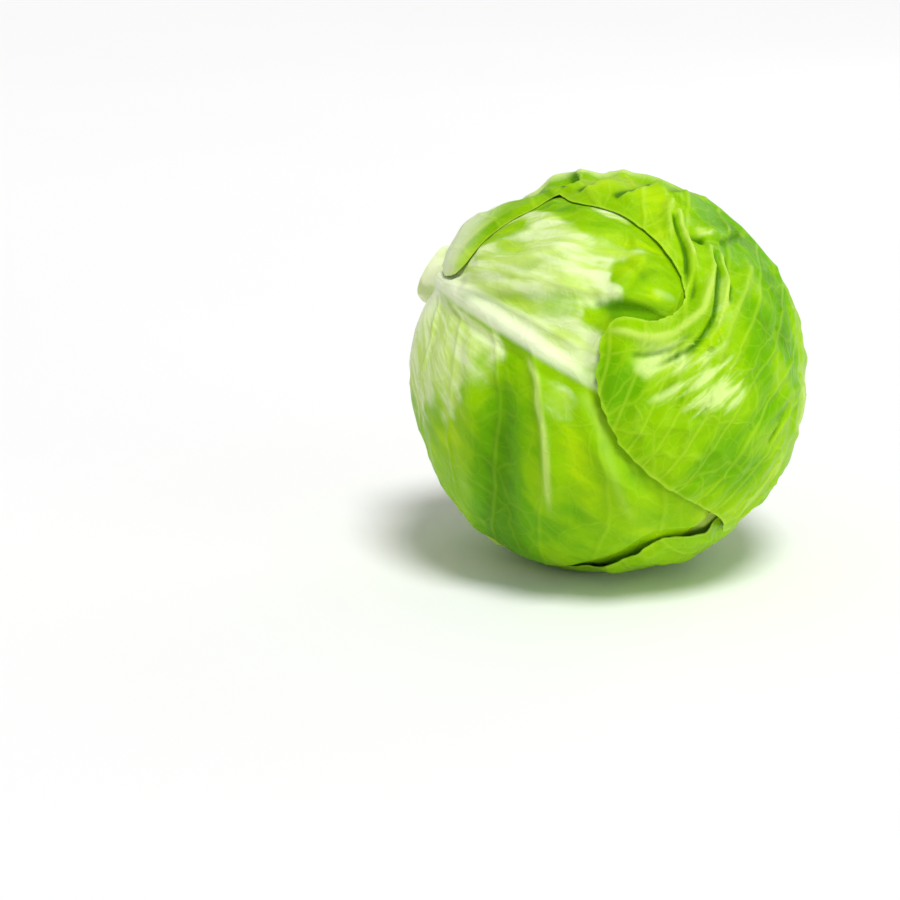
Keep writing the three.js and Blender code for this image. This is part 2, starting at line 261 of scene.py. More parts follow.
veinShape = {
    "wander": [(0.12, 28), (0.05, 11)],  # parts of the pitch
    "width": 1.8,
    "widthLoss": 0.9,
    "widthReach": 90.0,
    "height": 0.8,
    "heightLoss": 0.45,
    "heightReach": 95.0,
    "puffFrom": (5, 25),
    "paleSharpness": 1.5,
    "paleBroken": [(0.05, 8, 4), (0.05, 3.5, 12)],  # amount, size and seed
}

# the shape of the painted shade at a fold's foot and of the painted highlight on its crest
creaseShape = {
    "linePoints": 30,
    "fadeIn": 0.1,  # parts of the line
    "fadeOut": 0.72,
    "footDistance": 1.25,  # in widths of the steep side, as in the next line
    "footWidth": 0.75,
    "widestSteep": 2.6,
    "footReach": 3.4,
    "crestWidth": 0.5,
    "crestSpread": 0.4,
    "sharpCrestHighlight": 0.3,  # a painted highlight: the crest of a sharp fold with painted shade is a little paler
}

topLeaf = {
    "name": "topLeaf",
    "node": "outer_leaf_top",
    "slot": "green_leaf",
    "azimuth": 76, "wrapAngle": 115, "tip": 127, "grid": (150, 320), "lean": -0.05, "fine": (-90, 112, 1.8),
    "left": [
        (-66, -124, -139), (-70, -110, -128), (-57, -105, -116), (-43, -97, -102), (-34, -88, -92),
        (-20, -84, -84), (-28, -72, -70), (-29, -50, -50), (-34, -24, -14), (-41, -4, 22), (-50, 1, 58),
        (-61, -1, 90), (-72, -12, 103), (-83, -9, 105), (-95, 9, 108), (-98, 34, 111), (-88, 60, 114),
        (-71, 82, 117), (-40, 108, 122),
    ],
    "right": [
        (52, -126, -141), (58, -96, -126), (66, -64, -106), (84, -32, -80), (98, 2, -48),
        (101, 38, -10), (90, 74, 36), (62, 104, 84),
    ],
    "ribWidths": (5.0, 2.0),
    "ribLine": [(0, -148), (10, -100), (22, -55), (25, 0), (20, 30), (9, 60), (3, 90), (0, 127)],
    "ribFade": (0.2, 0.45),
    "ribSoft": (1.35, 1.35),
    "ribEdge": (0, 1, 0),
    "veins": [
        {"rise": 0, "reach": 30, "slope": 0.5, "bend": 0.003, "first": -5, "pitch": 22},
        {"rise": 0, "reach": 30, "slope": 0.35, "bend": 0.004, "first": 4, "pitch": 24},
    ],
    "pale": {"focus": -115, "valleys": (30, 40), "fingers": (44, 58), "soft": ((0.7, 1.1), (0.7, 1.1))},
    "puff": 0.9,
    "crumple": 0.9,
    "glossy": [(-54, 35, 26, 15, 34, 1.0), (-8, -58, 20, 12, 90, 0.4)],
    "flow": (120, 10, 175),
    "pressed": [(-54, -108, 46, 24, 20, 1.0), (-30, -58, 40, 14, 95, 0.6)],
    "seed": 11,
    "folds": [
        (1.6, 9.0, 2.2, 0.45, [(-22, -80), (-14, -89), (-4, -98), (8, -109), (16, -116)]),
        (2.6, 8.0, 1.2, 1.3, [(-18, -82), (-12, -79), (-4, -80), (6, -84), (16, -88)]),
        (3.4, 10.0, 1.2, 1.5, [(-23, -71), (-14, -68), (-5, -67), (6, -68), (18, -71)]),
        (3.8, 12.0, 1.2, 1.5, [(-24, -53), (-14, -51), (-3, -49), (8, -50), (20, -53)]),
        (1.6, 7.0, 7.0, 0, [(12, -62), (20, -66), (32, -70), (44, -72)]),
        (2.8, 10.0, 10.0, 0, [(2, -86), (14, -91), (24, -96), (34, -99)]),
        (-3.4, 26.0, 26.0, 0, [(18, -104), (28, -80), (33, -62), (40, -44), (46, -24), (48, 0), (50, 30)]),
        (-3.5, 15.0, 15.0, 0, [(-14, -130), (-4, -122), (4, -113), (8, -104), (10, -96)]),
        (-1.6, 5.0, 5.0, 0, [(6, -60), (20, -64), (33, -66), (46, -66)]),
        (-1.4, 5.0, 5.0, 0, [(6, -76), (20, -80), (30, -82), (40, -83)]),
        (3.0, 10.0, 2.4, 0.5, [(-4, -38), (6, -37), (14, -38), (24, -42)]),
        (-3.6, 2.6, 2.6, 1.6, [(-20, -21), (-17, -18), (-14, -15)]),
        (2.6, 2.2, 2.2, -0.5, [(-4, -38), (-14, -35), (-20, -31), (-26, -26), (-30, -20)]),
        (-1.8, 1.6, 1.6, 1.0, [
            (-14, -33), (-20, -28), (-23, -24), (-27, -18), (-31, -13), (-36, -8), (-41, -3)]),
        (2.8, 2.2, 2.2, -0.9, [(-8, -34), (-17, -27), (-23, -21), (-26, -15), (-32, -8), (-40, 0)]),
        (2.4, 1.4, 9.0, 0.7, [(-9, -14), (-4, -13), (3, -13), (10, -12), (16, -8)]),
        (1.6, 1.8, 1.8, -0.7, [(-15, -14), (-21, -6), (-32, 1), (-41, 5)]),
        (-2.0, 1.9, 1.9, 1.0, [
            (-15, -12), (-17, -8), (-21, -2), (-28, 4), (-36, 11), (-49, 17), (-62, 17), (-78, 14)]),
        (1.8, 2.0, 2.0, -0.8, [(-12, -9), (-18, -1), (-26, 7), (-36, 14), (-46, 20)]),
        (-1.2, 1.2, 1.2, 0.8, [(-12, -6), (-18, 1), (-23, 8), (-30, 14)]),
        (-1.1, 1.2, 1.2, 0.8, [(-27, -14), (-33, -7), (-40, 0), (-46, 3)]),
        (2.6, 3.0, 4.0, -0.9, [
            (-78, -12), (-73, -4), (-67, 4), (-59, 8), (-51, 8), (-42, 7), (-34, 2), (-26, -8)]),
        (-1.2, 2.0, 2.0, 0.6, [(-78, 4), (-70, 10), (-62, 13), (-54, 13), (-46, 11)]),
        (1.6, 2.0, 2.0, -0.45, [(2, 2), (-8, 6), (-21, 12), (-29, 16), (-37, 21), (-45, 28), (-52, 38)]),
        (1.5, 1.6, 5.0, -0.2, [(-34, 26), (-44, 33), (-54, 43), (-62, 50)]),
        (1.5, 1.6, 5.0, -0.2, [(-44, 20), (-54, 26), (-62, 34), (-70, 40)]),
        (1.3, 1.6, 4.0, -0.2, [(-52, 15), (-62, 20), (-70, 26)]),
        (-1.3, 2.2, 2.2, 0.35, [(-46, 22), (-56, 29), (-66, 34), (-76, 38)]),
        (-1.2, 2.2, 2.2, 0.35, [(-51, 18), (-60, 22), (-70, 26), (-80, 28)]),
        (-1.2, 2.2, 2.2, 0.35, [(-40, 28), (-48, 37), (-57, 43), (-68, 48)]),
        (1.3, 2.2, 2.2, -0.3, [(17, 60), (-7, 60), (-25, 64), (-39, 70), (-50, 80)]),
        (-1.4, 1.6, 1.6, 0.5, [(-22, 76), (-12, 68), (-8, 62)]),
        (0.9, 1.8, 1.8, -0.25, [(-66, 44), (-71, 54), (-74, 62)]),
        (0.9, 1.8, 1.8, -0.25, [(-84, 26), (-88, 34), (-86, 42)]),
    ],
    # the pale patch at (-56, 33) is partly a painted highlight, and the green lens at (-45, -104) is a
    # painted shade beside the margin
    "patches": [
        (-58, -114, 26, 18, 40, 0.75, -0.4), (-8, -104, 28, 20, 60, -1.3, 0.2),
        (-45, -104, 13, 4.5, 35, -2.2, 0.9), (-61, -108, 9, 5, 10, -1.0, 0), (-10, 29, 16, 8, 50, 0, 1.2),
        (4, 44, 18, 12, 90, 0, 1.2), (8, 18, 14, 12, 60, 0, 1.2), (8, -24, 18, 14, 0, 0, 1.1),
        (16, -4, 16, 16, 0, 0, 1.2), (-24, 36, 10, 14, 20, -0.4, 0.9), (-12, -6, 9, 9, 0, -0.3, 0.8),
        (-20, 62, 14, 8, 0, -0.5, 0.9), (-88, 10, 12, 16, 0, 0, 0.6), (-84, 14, 8, 6, 60, -0.4, 0.4),
        (-86, 34, 10, 16, 0, 0, 0.4), (-58, 70, 22, 12, -20, -0.2, 0.7), (-36, 84, 20, 11, 0, -0.25, 0.9),
        (-62, 3, 13, 3.5, 0, 0.4, -0.3), (-30, 8, 14, 7, 130, 0.5, -0.6), (-56, 33, 25, 15, 34, 0.52, 0.1),
        (-67, 13, 14, 7, 5, 0.6, -0.2), (-50, 66, 18, 10, 0, 0, 0.3), (-8, 90, 14, 8, 0, 0.3, -0.3),
        (30, 78, 10, 22, 0, 0.5, -0.5), (-30, -30, 12, 5, 120, 0.15, -0.5), (-10, -19, 5, 3, 30, 0.7, -0.6),
        (-5, -68, 16, 20, 0, 0, -0.6), (-12, -40, 14, 10, 0, 0, -0.5),
    ],
}

backLeaf = {
    "name": "backLeaf",
    "node": "outer_leaf_back",
    "slot": "green_leaf",
    "azimuth": -146, "wrapAngle": 100, "tip": 107, "grid": (150, 160), "lean": 0, "fine": (0, 0, 1),
    "left": [
        (-44, -114, -121), (-64, -88, -113), (-84, -58, -98), (-100, -20, -74), (-104, 18, -40),
        (-95, 54, 6), (-72, 84, 58),
    ],
    "right": [
        (42, -114, -121), (58, -88, -113), (76, -58, -98), (91, -20, -74), (97, 18, -40),
        (98, 56, 6), (84, 94, 62),
    ],
    "ribWidths": (5.4, 2.0),
    "ribLine": [(0, -133), (3, -60), (-3, 10), (2, 70), (0, 107)],
    "ribFade": (0.6, 1.0),
    "ribSoft": (1.35, 1.35),
    "ribEdge": (0, 1, 0),
    "veins": [
        {"rise": 26, "reach": 34, "slope": 0.15, "bend": 0, "first": -6, "pitch": 24},
        {"rise": 26, "reach": 34, "slope": 0.15, "bend": 0, "first": 5, "pitch": 25},
    ],
    "pale": {"focus": -100, "valleys": (58, 58), "fingers": (86, 86), "soft": ((0.6, 1.15), (0.6, 1.15))},
    "puff": 1.3,
    "crumple": 0.9,
    "glossy": [(40, -20, 30, 20, 30, 0.7)],
    "flow": (0, -133, 75),
    "pressed": [],
    "seed": 23,
    "folds": [
        (2.4, 2.4, 10.0, 0.3, [(8, -60), (22, -42), (40, -26), (62, -14)]),
        (2.2, 9.0, 2.4, 0.3, [(-8, -50), (-24, -32), (-44, -16), (-70, -4)]),
        (2.0, 2.4, 10.0, 0.2, [(4, -8), (24, 12), (44, 26), (66, 36)]),
        (1.8, 9.0, 2.4, 0.2, [(-6, 8), (-24, 26), (-46, 38), (-66, 46)]),
        (-1.2, 5.0, 5.0, 0.1, [(6, 30), (22, 52), (40, 66)]),
    ],
    "patches": [
        (-50, 10, 26, 22, 0, 0, 0.6), (48, -12, 22, 24, 0, 0, 0.5), (40, 50, 24, 18, 0, 0, 0.6),
        (-30, 60, 18, 14, 0, 0, -0.5), (20, 10, 16, 14, 0, 0.1, -0.6),
    ],
}

frontLeaf = {
    "name": "frontLeaf",
    "node": "outer_leaf_front",
    "slot": "pale_leaf",
    "azimuth": 6, "wrapAngle": 85, "tip": 108, "grid": (190, 210), "lean": -0.1, "fine": (-90, 30, 1.3),
    "left": [
        (-34, -96, -100), (-56, -80, -94), (-80, -56, -83), (-100, -24, -64), (-109, 10, -34),
        (-108, 46, 4), (-94, 78, 50), (-62, 98, 80),
    ],
    "right": [
        (34, -96, -100), (56, -78, -94), (78, -52, -83), (97, -20, -64), (104, 15, -34),
        (100, 48, 4), (80, 78, 52),
    ],
    "ribWidths": (4.6, 1.9),
    "ribLine": [(2, -104), (3.4, -64), (3.4, -20), (2.5, 0), (1, 24), (0, 60), (0, 108)],
    "ribFade": (0.42, 0.8),
    "ribSoft": (1.35, 2.6),
    "ribEdge": (-4.4, 1.7, 0.5),
    "veins": [
        {"rise": 34, "reach": 28, "slope": 0, "bend": 0, "first": -4, "pitch": 26},
        {"focus": -75, "first": 20, "pitch": 13},
    ],
    "pale": {"focus": -75, "valleys": (60, 92), "fingers": (70, 107), "soft": ((0.66, 1.2), (0.88, 1.06))},
    "puff": 0.8,
    "crumple": 0.35,
    "glossy": [(34, -4, 12, 12, 0, 0.3), (48, -34, 8, 8, 0, 0.3)],
    "flow": (2, -108, 75),
    "pressed": [],
    "seed": 37,
    "folds": [
        (3.0, 3.0, 14.0, 0.32, [(4, -52), (8, -47), (15, -30), (23, -14), (30, -1), (38, 12)]),
        (1.6, 2.0, 7.0, 0.12, [(14, -50), (25, -30), (37, -17), (50, -6)]),
        (2.0, 2.0, 7.0, 0.15, [(19, -53), (33, -41), (48, -33), (60, -27)]),
        (1.3, 2.0, 5.0, 0.1, [(10, -52), (19, -34), (32, -21), (51, -5)]),
        (-0.6, 1.6, 1.6, 0.1, [(19, -28), (21, -25), (26, -21), (33, -18)]),
        (-0.9, 1.8, 1.8, 0.1, [(-4, -60), (-5, -40), (-5, -18), (-5, 0), (-7, 24)]),
        (2.8, 2.6, 8.0, -1.0, [(-2, -6), (-7, 4), (-15, 9), (-25, 16), (-40, 23), (-65, 30)]),
        (2.2, 5.0, 8.0, -0.3, [(-3, 19), (-11, 32), (-21, 41), (-36, 53), (-54, 69)]),
        (-2.2, 7.0, 7.0, 0.2, [(-14, -10), (-31, -3), (-46, 3), (-65, 9), (-86, 14)]),
        (-1.2, 6.0, 6.0, 0.1, [(-24, 25), (-28, 28), (-49, 37), (-71, 44)]),
        (1.4, 4.0, 4.0, -0.2, [(-8, -34), (-14, -28), (-24, -22), (-40, -16)]),
        (-0.6, 2.2, 2.2, 0.6, [(27, 8), (31, 15), (35, 22), (39, 30), (42, 38)]),
        (2.6, 1.6, 8.0, 0.3, [(28, 12), (37, 16), (46, 16), (55, 14), (62, 12)]),
        (2.4, 1.8, 6.0, 0.3, [(33, 12), (37, 20), (39, 27), (41, 35), (40, 40)]),
        (2.0, 1.8, 6.0, 0.3, [(46, 16), (53, 19), (58, 26), (60, 34)]),
        (1.8, 1.8, 5.0, 0.3, [(58, 6), (63, 12), (66, 20)]),
        (2.8, 4.0, 1.8, 0.4, [(58, -62), (68, -50), (66, -37), (63, -24), (60, -12)]),
        (-1.4, 3.0, 3.0, 0.3, [(56, -50), (57, -38), (60, -30)]),
        (1.6, 6.0, 6.0, -0.1, [(12, -77), (23, -87), (34, -92), (44, -75), (51, -58)]),
        (-0.8, 1.5, 1.5, 0.3, [(16, -62), (23, -62), (31, -62), (40, -58), (48, -50)]),
    ],
    # painted highlights at (45, -30) and (38, -2), a painted shade below the facet line at (16, -12), and a
    # painted shadow in the deep green of the lower left at (-30, -4), (-52, 2) and (-88, 8)
    "patches": [
        (36, -51, 18, 5, 33, -0.7, -0.2), (31, -35, 15, 5, 55, -0.5, -0.3), (45, -30, 8, 5, 0, 0.4, -0.5),
        (38, -2, 15, 5, 90, 0.4, -0.5), (16, -12, 24, 6, 62, -0.5, -0.6), (50, -40, 8, 6, 0, 0.2, -0.5),
        (60, -36, 16, 4, 90, -0.5, 0), (-30, -4, 22, 8, 165, -0.4, 0.7), (-52, 2, 32, 13, 170, -0.5, 1.4),
        (-88, 8, 28, 18, 180, -0.5, 2.0), (-70, 36, 26, 14, 150, -0.2, 0.5),
        (-14, 18, 14, 7, 150, 0.15, -0.2), (-9, 15, 13, 7, 130, 0.3, 0.1), (-34, 36, 22, 6, 150, -0.2, -0.6),
        (-16, 32, 12, 5, 130, -0.05, 0.1), (61, 6, 14, 9, 60, -0.6, -0.3), (52, -2, 10, 7, 70, -0.3, 0),
        (33, 26, 15, 5, 68, -1.0, 0.9), (45, 27, 9, 3.5, 70, 0.45, -0.5), (61, -40, 24, 9, 88, -1.3, 0.6),
        (58, -14, 13, 7, 70, -0.8, 0.2), (28, -56, 13, 5, 10, -0.6, 0.2), (38, -44, 15, 6, 50, -0.75, 0.1),
        (41, 17, 9, 6, 60, -0.7, 0.1), (20, 0, 9, 6, 60, -0.3, 0), (58, 24, 8, 8, 0, -0.4, 0),
    ],
}

innerLeaf = {
    "slot": "inner_leaf",
    "wrapAngle": 92, "tip": 104, "grid": (84, 80), "lean": 0, "fine": (0, 0, 1),
    "count": 5, "firstAzimuth": 128.5, "turn": 137.5, "halfWidth": 96.0, "halfWidthLoss": 3.0,
    "outlineStops": 7, "lowness": 0.85, "roundness": 0.6, "rowSweep": 1.5, "firstSeed": 51, "seedStep": 7,
    "ribWidths": (5.4, 2.2),
    "ribLine": [(0, -116), (2, -40), (-2, 30), (0, 104)],
    "ribFade": (0.6, 1.0),
    "ribSoft": (1.35, 1.35),
    "ribEdge": (0, 1, 0),
    "veins": [
        {"rise": 26, "reach": 34, "slope": 0.15, "bend": 0, "first": 0, "pitch": 24},
        {"rise": 26, "reach": 34, "slope": 0.15, "bend": 0, "first": 9, "pitch": 24},
    ],
    "pale": {"focus": -100, "valleys": (70, 70), "fingers": (110, 110), "soft": ((0.7, 1.1), (0.7, 1.1))},
    "puff": 0.6,
    "crumple": 0.4,
    "glossy": [],
    "flow": (0, -120, 75),
    "pressed": [],
    "folds": [],
    "patches": [],
}


def innerOutline(halfWidth, baseY, side):
    points = []
    length = innerLeaf["tip"] - baseY
    for i in range(1, innerLeaf["outlineStops"]):
        part = i / innerLeaf["outlineStops"]
        across = halfWidth * math.sin(math.pi * part ** innerLeaf["lowness"]) ** innerLeaf["roundness"]
        rowStart = baseY + length * part ** innerLeaf["rowSweep"]
        points.append((side * across, baseY + length * part, rowStart))
    return points


def innerLeaves():
    made = []
    baseY = head["radius"] * math.radians(blade["baseAngle"] - innerLeaf["wrapAngle"])
    for i in range(innerLeaf["count"]):
        halfWidth = innerLeaf["halfWidth"] - innerLeaf["halfWidthLoss"] * i
        leaf = dict(innerLeaf)
        leaf["name"] = f"innerLeaf{i + 1}"
        leaf["node"] = f"inner_leaf_{i + 1}"
        leaf["azimuth"] = innerLeaf["firstAzimuth"] + innerLeaf["turn"] * i
        leaf["left"] = innerOutline(halfWidth, baseY, -1)
        leaf["right"] = innerOutline(halfWidth, baseY, 1)
        leaf["seed"] = innerLeaf["firstSeed"] + innerLeaf["seedStep"] * i
        made.append(leaf)
    return made


def flatten(leaf, directions):  # flat places on a leaf of directions from the head's centre
    distance = head["radius"] * np.arccos(np.clip(directions @ leaf["centre"], -1, 1))
    turn = np.arctan2(directions @ leaf["across"], directions @ leaf["along"])
    return np.column_stack([distance * np.sin(turn), distance * np.cos(turn)])


def wrap(leaf, places):  # the directions of flat places on a leaf
    angle = np.hypot(places[:, 0], places[:, 1]) / head["radius"]
    turn = np.arctan2(places[:, 0], places[:, 1])
    directions = np.outer(np.cos(angle), leaf["centre"])
    directions += np.outer(np.sin(angle) * np.sin(turn), leaf["across"])
    return directions + np.outer(np.sin(angle) * np.cos(turn), leaf["along"])


def layOut(leaf):
    leaf["centre"] = directionAt(leaf["wrapAngle"], leaf["azimuth"])
    leaf["along"] = directionAt(leaf["wrapAngle"] + 90, leaf["azimuth"])
    leaf["across"] = np.cross(leaf["centre"], leaf["along"])
    leaf["baseY"] = flatten(leaf, directionAt(blade["baseAngle"], leaf["azimuth"])[None])[0, 1]
    leaf["margins"] = {}
    for side, key in ((-1, "left"), (1, "right")):
        corner = directionAt(blade["baseAngle"], leaf["azimuth"] + side * blade["baseSpread"])
        cornerX, cornerY = flatten(leaf, corner[None])[0]
        start = (cornerX, cornerY, leaf["baseY"])
        end = (side * blade["tipHalfWidth"], leaf["tip"] - blade["tipRound"], leaf["tip"])
        leaf["margins"][side] = curveThrough([start, *leaf[key], end], blade["marginPoints"])
    leaf["outline"] = np.vstack([leaf["margins"][1], leaf["margins"][-1][::-1]])[:, :2]
    return leaf


def insetDistance(leaf, places):  # distance to the leaf's outline, above 0 inside
    start = leaf["outline"]
    end = np.roll(start, -1, axis=0)
    edge = end - start
    lengthSquared = np.maximum((edge ** 2).sum(axis=1), 1e-9)
    rise = np.where(edge[:, 1] == 0, 1, edge[:, 1])
    insets = []
    blockSize = 4000  # fewer at a time, to spare memory
    for block in np.array_split(places, len(places) // blockSize + 1):
        x, y = block[:, :1], block[:, 1:]
        dx, dy = x - start[:, 0], y - start[:, 1]
        part = np.clip((dx * edge[:, 0] + dy * edge[:, 1]) / lengthSquared, 0, 1)
        distance = np.hypot(dx - part * edge[:, 0], dy - part * edge[:, 1]).min(axis=1)
        crosses = (start[:, 1] > y) != (end[:, 1] > y)
        inside = (crosses & (dx < dy * edge[:, 0] / rise)).sum(axis=1) % 2 == 1
        insets.append(np.where(inside, distance, -distance))
    return np.concatenate(insets)


def ribProfile(leaf, places, reach):  # the midrib, highest near the stem
    part = (places[:, 1] - leaf["baseY"]) / (leaf["tip"] - leaf["baseY"])
    height = blade["ribHeight"] * (1 - smooth(part, *blade["ribTaper"]))
    return height * np.exp(-(places[:, 0] / reach) ** 2)


def stackAbove(order, directions):  # room taken by the leaves outside one, and its freedom to rise
    depth = np.zeros(len(directions))
    free = restFade(directions)
    near, far = blade["skirt"]
    for leaf in leaves[:order]:
        places = flatten(leaf, directions)
        covered = smooth(insetDistance(leaf, places), -near - far, -near)
        depth += covered * (blade["thickness"] + blade["gap"] + ribProfile(leaf, places, blade["ribReach"]))
        free = free * (1 - covered)
    return depth, free


def rowStarts(leaf, parts):  # where rows begin on the midrib, so that they end evenly along the margin
    ribs = np.linspace(leaf["baseY"], leaf["tip"], blade["rowSamples"])
    longest = np.zeros(len(ribs) - 1)
    for margin in leaf["margins"].values():
        ends = np.column_stack([np.interp(ribs, margin[:, 2], margin[:, i]) for i in (0, 1)])
        longest = np.maximum(longest, np.linalg.norm(np.diff(ends, axis=0), axis=1))
    low, high, factor = leaf["fine"]
    longest[(ribs[1:] > low) & (ribs[1:] < high)] *= factor
    travelled = np.concatenate([[0], np.cumsum(longest)])
    return np.interp(parts, travelled / travelled[-1], ribs)


def ribSide(leaf, y):  # how far the midrib has bent away from the middle of the leaf
    line = curveThrough(leaf["ribLine"], blade["ribPoints"])
    return np.interp(y, line[:, 1], line[:, 0])


def veinPhase(leaf, across, y):  # a vein runs wherever the phase is a whole number
    phase, pitch = np.zeros(len(y)), np.zeros(len(y))
    u = np.abs(across)  # the distance from the midrib
    for side, veins in zip((-1, 1), leaf["veins"]):
        if "focus" in veins:
            turn = np.degrees(np.arctan2(u, y - veins["focus"]))
            sidePhase = (turn - veins["first"]) / veins["pitch"]
            sidePitch = np.hypot(u, y - veins["focus"]) * math.radians(veins["pitch"])
        else:
            nearRib = np.exp(-u / veins["reach"])
            start = y - veins["rise"] * (1 - nearRib) - veins["slope"] * u - veins["bend"] * u ** 2
            sidePhase = (start - veins["first"]) / veins["pitch"]
            steepness = veins["slope"] + 2 * veins["bend"] * u + veins["rise"] / veins["reach"] * nearRib
            sidePitch = veins["pitch"] / np.sqrt(1 + steepness ** 2)
        here = across * side >= 0
        phase = np.where(here, sidePhase, phase)
        pitch = np.where(here, sidePitch, pitch)
    return phase + softLayers(across, y, leaf["seed"], veinShape["wander"]), pitch


def veinRelief(leaf, at):  # the veins' ridges, and the leaf puffed up between them
    phase, fromRib = at["phase"], at["fromRib"]
    distance = (0.5 - np.abs(phase - np.floor(phase) - 0.5)) * at["pitch"]
    width = veinShape["width"] - veinShape["widthLoss"] * smooth(fromRib, 0, veinShape["widthReach"])
    height = veinShape["height"] - veinShape["heightLoss"] * smooth(fromRib, 0, veinShape["heightReach"])
    ridge = height * np.exp(-(distance / width) ** 2)
    pillow = (0.5 - 0.5 * np.cos(2 * math.pi * phase)) * smooth(fromRib, *veinShape["puffFrom"])
    return ridge + leaf["puff"] * pillow


def foldShape(places, fold):  # the ridge, its crest line for a painted highlight, and the painted shade at the foot of its steep side
    _, left, right, _, line = fold
    distance, side, part = nearLine(places, curveThrough(line, creaseShape["linePoints"]))
    along = smooth(part, 0, creaseShape["fadeIn"]) * (1 - smooth(part, creaseShape["fadeOut"], 1))
    ridge = along * np.exp(-(distance / np.where(side > 0, left, right)) ** 2)
    steep = min(left, right)
    foot = 0 if left == right else creaseShape["footDistance"] * steep
    toFoot = distance * side * (1 if left < right else -1) - foot
    inner = creaseShape["footWidth"] * min(steep, creaseShape["widestSteep"])
    outer = inner if left == right else creaseShape["footReach"]
    shade = along * np.exp(-(toFoot / np.where(toFoot < 0, inner, outer)) ** 2)
    crestWidth = creaseShape["crestWidth"] + creaseShape["crestSpread"] * steep
    crest = along * np.exp(-(distance / crestWidth) ** 2)
    return ridge, crest, shade


def foldsOn(leaf, places):  # the folds' relief, and their painted light: a painted highlight on the crest below 0, a painted shade at the foot above 0
    relief, paintedLight = np.zeros(len(places)), np.zeros(len(places))
    for fold in leaf["folds"]:
        ridge, crest, shade = foldShape(places, fold)
        height, paintedShading = fold[0], fold[3]
        relief += height * ridge
        paintedLight += paintedShading * (crest if paintedShading < 0 else shade)
        # a painted highlight on the crest of a sharp fold that has a painted shade at its foot
        if height > 0 and paintedShading > 0:
            paintedLight -= creaseShape["sharpCrestHighlight"] * paintedShading * crest
    return relief, paintedLight


def patchSum(places, patches, column):  # the column is where a patch holds its strength
    total = np.zeros(len(places))
    for patch in patches:
        x, y, halfLength, halfWidth, turn = patch[:5]
        dx, dy = places[:, 0] - x, places[:, 1] - y
        turn = math.radians(turn)
        along = (dx * math.cos(turn) + dy * math.sin(turn)) / halfLength
        aside = (dy * math.cos(turn) - dx * math.sin(turn)) / halfWidth
        total += patch[column] * np.exp(-(along ** 2 + aside ** 2) ** 1.5)
    return total


def paleness(leaf, at):  # 1 in the pale part round the stem, which reaches out along the veins
    pale = leaf["pale"]
    across, y = at["across"], at["y"]
    onVein = (0.5 + 0.5 * np.cos(2 * math.pi * at["phase"])) ** veinShape["paleSharpness"]
    valley = np.where(across < 0, *pale["valleys"])
    finger = np.where(across < 0, *pale["fingers"])
    away = np.hypot(across, y - pale["focus"]) / (valley + (finger - valley) * onVein)
    for amount, size, seed in veinShape["paleBroken"]:
        away = away + amount * softNoise(across, y, size, leaf["seed"] + seed)
    left, right = pale["soft"]
    return 1 - np.where(across < 0, smooth(away, *left), smooth(away, *right))


def spreadOut(leaf, spots):  # the grid's points on the flat leaf
    grid, alongPart = -spots[:, 0], (spots[:, 1] + 1) / 2  # turned over, so that faces point outward
    lean = leaf["lean"]
    out = np.where(grid < lean, (grid - lean) / (1 + lean), (grid - lean) / (1 - lean))
    starts = rowStarts(leaf, alongPart)
    sides = np.where(out < 0, -1, 1)
    ends = np.zeros((len(out), 2))
    for side, margin in leaf["margins"].items():
        here = sides == side
        for i in (0, 1):
            ends[here, i] = np.interp(starts[here], margin[:, 2], margin[:, i])
    apart = 90.0  # so that the two margins differ
    frill = softLayers(alongPart * surface["frillLength"], sides * apart, leaf["seed"] + 5, surface["frill"])
    reach = np.abs(out) ** surface["crowding"]
    reach = (reach * (1 + frill * smooth(reach, *surface["frillFrom"])))[:, None]
    return np.column_stack([np.zeros(len(out)), starts]) * (1 - reach) + ends * reach


def measure(leaf, places):  # where places lie from the midrib, the margin and the veins
    x, y = places.T
    across = x - ribSide(leaf, y)
    fromRib = np.abs(across)
    ribPart = (y - leaf["baseY"]) / (leaf["tip"] - leaf["baseY"])
    wide, narrow = leaf["ribWidths"]
    inRibs = fromRib / (wide + (narrow - wide) * smooth(ribPart, 0, blade["ribNarrowed"]))
    phase, pitch = veinPhase(leaf, across, y)
    return {
        "x": x, "y": y, "across": across, "fromRib": fromRib, "ribPart": ribPart,
        "inRibs": inRibs,  # as many rib widths from the midrib
        "rib": np.exp(-inRibs ** blade["ribSteepness"]),
        "inset": np.maximum(insetDistance(leaf, places), 0),
        "phase": phase, "pitch": pitch,
    }


def leafRelief(leaf, at, folds, pressed):  # what stands up on the leaf
    x, y, seed = at["x"], at["y"], leaf["seed"]
    relief = folds + veinRelief(leaf, at) * (1 - at["rib"])
    relief += softLayers(x, y, seed + 7, surface["swell"])
    broken = np.minimum(np.abs(softLayers(x, y, seed + 10, surface["crumple"])), 1)
    relief += leaf["crumple"] * (1 - broken) ** surface["crumpleSharpness"]
    ruffle = 0.5 + 0.5 * softNoise(x, y, surface["ruffleSize"], seed + 2)
    nearRim = 1 - smooth(at["inset"], 0, surface["ruffleReach"])
    fromBase = smooth(at["ribPart"], *surface["ruffleFrom"])
    relief += surface["ruffleHeight"] * ruffle * nearRim * fromBase + blade["looseness"]
    relief *= smooth(at["ribPart"], *surface["reliefFrom"])
    return relief * (1 - surface["pressedFlat"] * pressed)


